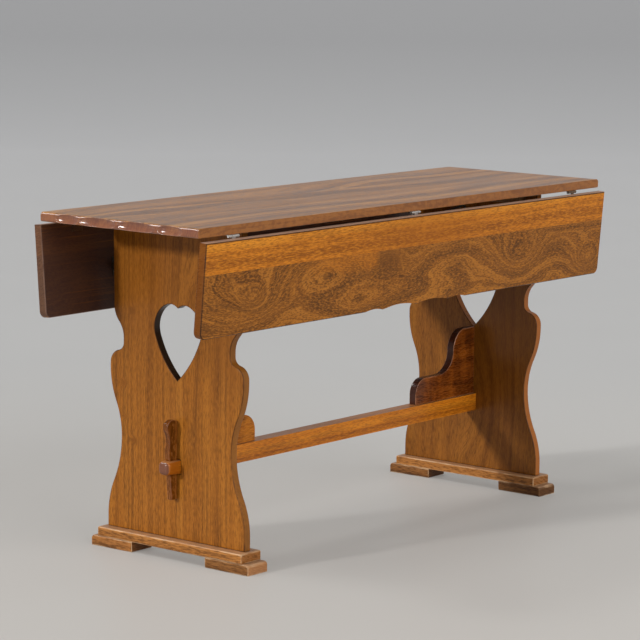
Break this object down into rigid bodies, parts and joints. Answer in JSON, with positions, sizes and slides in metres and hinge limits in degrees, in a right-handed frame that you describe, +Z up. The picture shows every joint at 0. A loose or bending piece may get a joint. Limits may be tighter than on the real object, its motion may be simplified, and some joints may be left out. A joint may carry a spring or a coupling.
{
  "type": "drop-leaf trestle table",
  "caption": "Wooden trestle table with heart-pierced end panels, a wedged stretcher and hinged drop leaves that swing up on slotted stays.",
  "frame": {"origin": "on the floor under the middle of the table", "axes": "+X along the length towards the far trestle, +Y towards the rear leaf, +Z up"},
  "size_m": [1.449, 0.4808, 0.74],
  "materials": {
    "top_wood": "satin varnish",
    "leaf_light_wood": "satin varnish",
    "leaf_figured_wood": "satin varnish",
    "trestle_wood": "satin varnish",
    "foot_wood": "satin varnish",
    "stretcher_wood": "satin varnish",
    "brace_wood": "satin varnish",
    "wedge_wood": "satin varnish",
    "hidden_wood": "satin varnish",
    "hinge_steel": "bright zinc",
    "stay_steel": "satin zinc"
  },
  "bodies": {
    "frame": {"brace_dowels": "hidden_wood", "cleat_screws": "hinge_steel", "far_brace": "brace_wood", "far_foot_rail": "foot_wood", "far_top_cleat": "hidden_wood", "far_trestle_panel": "trestle_wood", "front_far_foot_pad": "foot_wood", "front_far_hinge_top_plate": "hinge_steel", "front_hinge_pins": "hinge_steel", "front_middle_hinge_top_plate": "hinge_steel", "front_near_foot_pad": "foot_wood", "front_near_hinge_top_plate": "hinge_steel", "near_brace": "brace_wood", "near_foot_rail": "foot_wood", "near_top_cleat": "hidden_wood", "near_trestle_panel": "trestle_wood", "pad_screws": "hinge_steel", "rear_far_foot_pad": "foot_wood", "rear_far_hinge_top_plate": "hinge_steel", "rear_hinge_pins": "hinge_steel", "rear_middle_hinge_top_plate": "hinge_steel", "rear_near_foot_pad": "foot_wood", "rear_near_hinge_top_plate": "hinge_steel", "stay_studs": "stay_steel", "stretcher": "stretcher_wood", "top_board_front": "top_wood", "top_board_middle": "top_wood", "top_board_rear": "top_wood", "top_hinge_screws": "hinge_steel"},
    "front_leaf": {"front_leaf_inner_board": "leaf_light_wood", "front_leaf_outer_board": "leaf_figured_wood", "front_near_hinge_leaf_plate": "hinge_steel", "front_middle_hinge_leaf_plate": "hinge_steel", "front_far_hinge_leaf_plate": "hinge_steel", "front_leaf_hinge_screws": "hinge_steel", "front_stay_rivets": "stay_steel", "front_bracket_screws": "stay_steel", "front_near_stay_bracket": "stay_steel", "front_far_stay_bracket": "stay_steel"},
    "front_near_stay": {"front_near_stay": "stay_steel"},
    "front_far_stay": {"front_far_stay": "stay_steel"},
    "rear_leaf": {"rear_leaf_inner_board": "leaf_light_wood", "rear_leaf_outer_board": "leaf_figured_wood", "rear_near_hinge_leaf_plate": "hinge_steel", "rear_middle_hinge_leaf_plate": "hinge_steel", "rear_far_hinge_leaf_plate": "hinge_steel", "rear_leaf_hinge_screws": "hinge_steel", "rear_stay_rivets": "stay_steel", "rear_bracket_screws": "stay_steel", "rear_near_stay_bracket": "stay_steel", "rear_far_stay_bracket": "stay_steel"},
    "rear_near_stay": {"rear_near_stay": "stay_steel"},
    "rear_far_stay": {"rear_far_stay": "stay_steel"},
    "near_wedge": {"near_wedge": "wedge_wood"},
    "far_wedge": {"far_wedge": "wedge_wood"}
  },
  "joints": [
    {"name": "front_leaf_fold", "type": "hinge", "parent": "frame", "child": "front_leaf", "pos_m": [0, -0.2176, 0.7166], "axis": [-1, 0, 0], "range_deg": [0, 94.6]},
    {"name": "front_near_stay_pivot", "type": "hinge", "parent": "front_leaf", "child": "front_near_stay", "pos_m": [-0.51445, -0.20359, 0.60737], "axis": [-1, 0, 0], "range_deg": [-47.3, 0]},
    {"name": "front_far_stay_pivot", "type": "hinge", "parent": "front_leaf", "child": "front_far_stay", "pos_m": [0.51445, -0.20359, 0.60737], "axis": [-1, 0, 0], "range_deg": [-47.3, 0]},
    {"name": "rear_leaf_fold", "type": "hinge", "parent": "frame", "child": "rear_leaf", "pos_m": [0, 0.2176, 0.7166], "axis": [1, 0, 0], "range_deg": [0, 94.6]},
    {"name": "rear_near_stay_pivot", "type": "hinge", "parent": "rear_leaf", "child": "rear_near_stay", "pos_m": [-0.51445, 0.20359, 0.60737], "axis": [1, 0, 0], "range_deg": [-47.3, 0]},
    {"name": "rear_far_stay_pivot", "type": "hinge", "parent": "rear_leaf", "child": "rear_far_stay", "pos_m": [0.51445, 0.20359, 0.60737], "axis": [1, 0, 0], "range_deg": [-47.3, 0]},
    {"name": "near_wedge_lift", "type": "slide", "parent": "frame", "child": "near_wedge", "axis": [0, 0, 1], "range_m": [0, 0.09]},
    {"name": "far_wedge_lift", "type": "slide", "parent": "frame", "child": "far_wedge", "axis": [0, 0, 1], "range_m": [0, 0.09]}
  ],
  "couplings": [
    {"joint": "front_near_stay_pivot", "follows": "front_leaf_fold", "ratio": -0.5},
    {"joint": "front_far_stay_pivot", "follows": "front_leaf_fold", "ratio": -0.5},
    {"joint": "rear_near_stay_pivot", "follows": "rear_leaf_fold", "ratio": -0.5},
    {"joint": "rear_far_stay_pivot", "follows": "rear_leaf_fold", "ratio": -0.5}
  ]
}
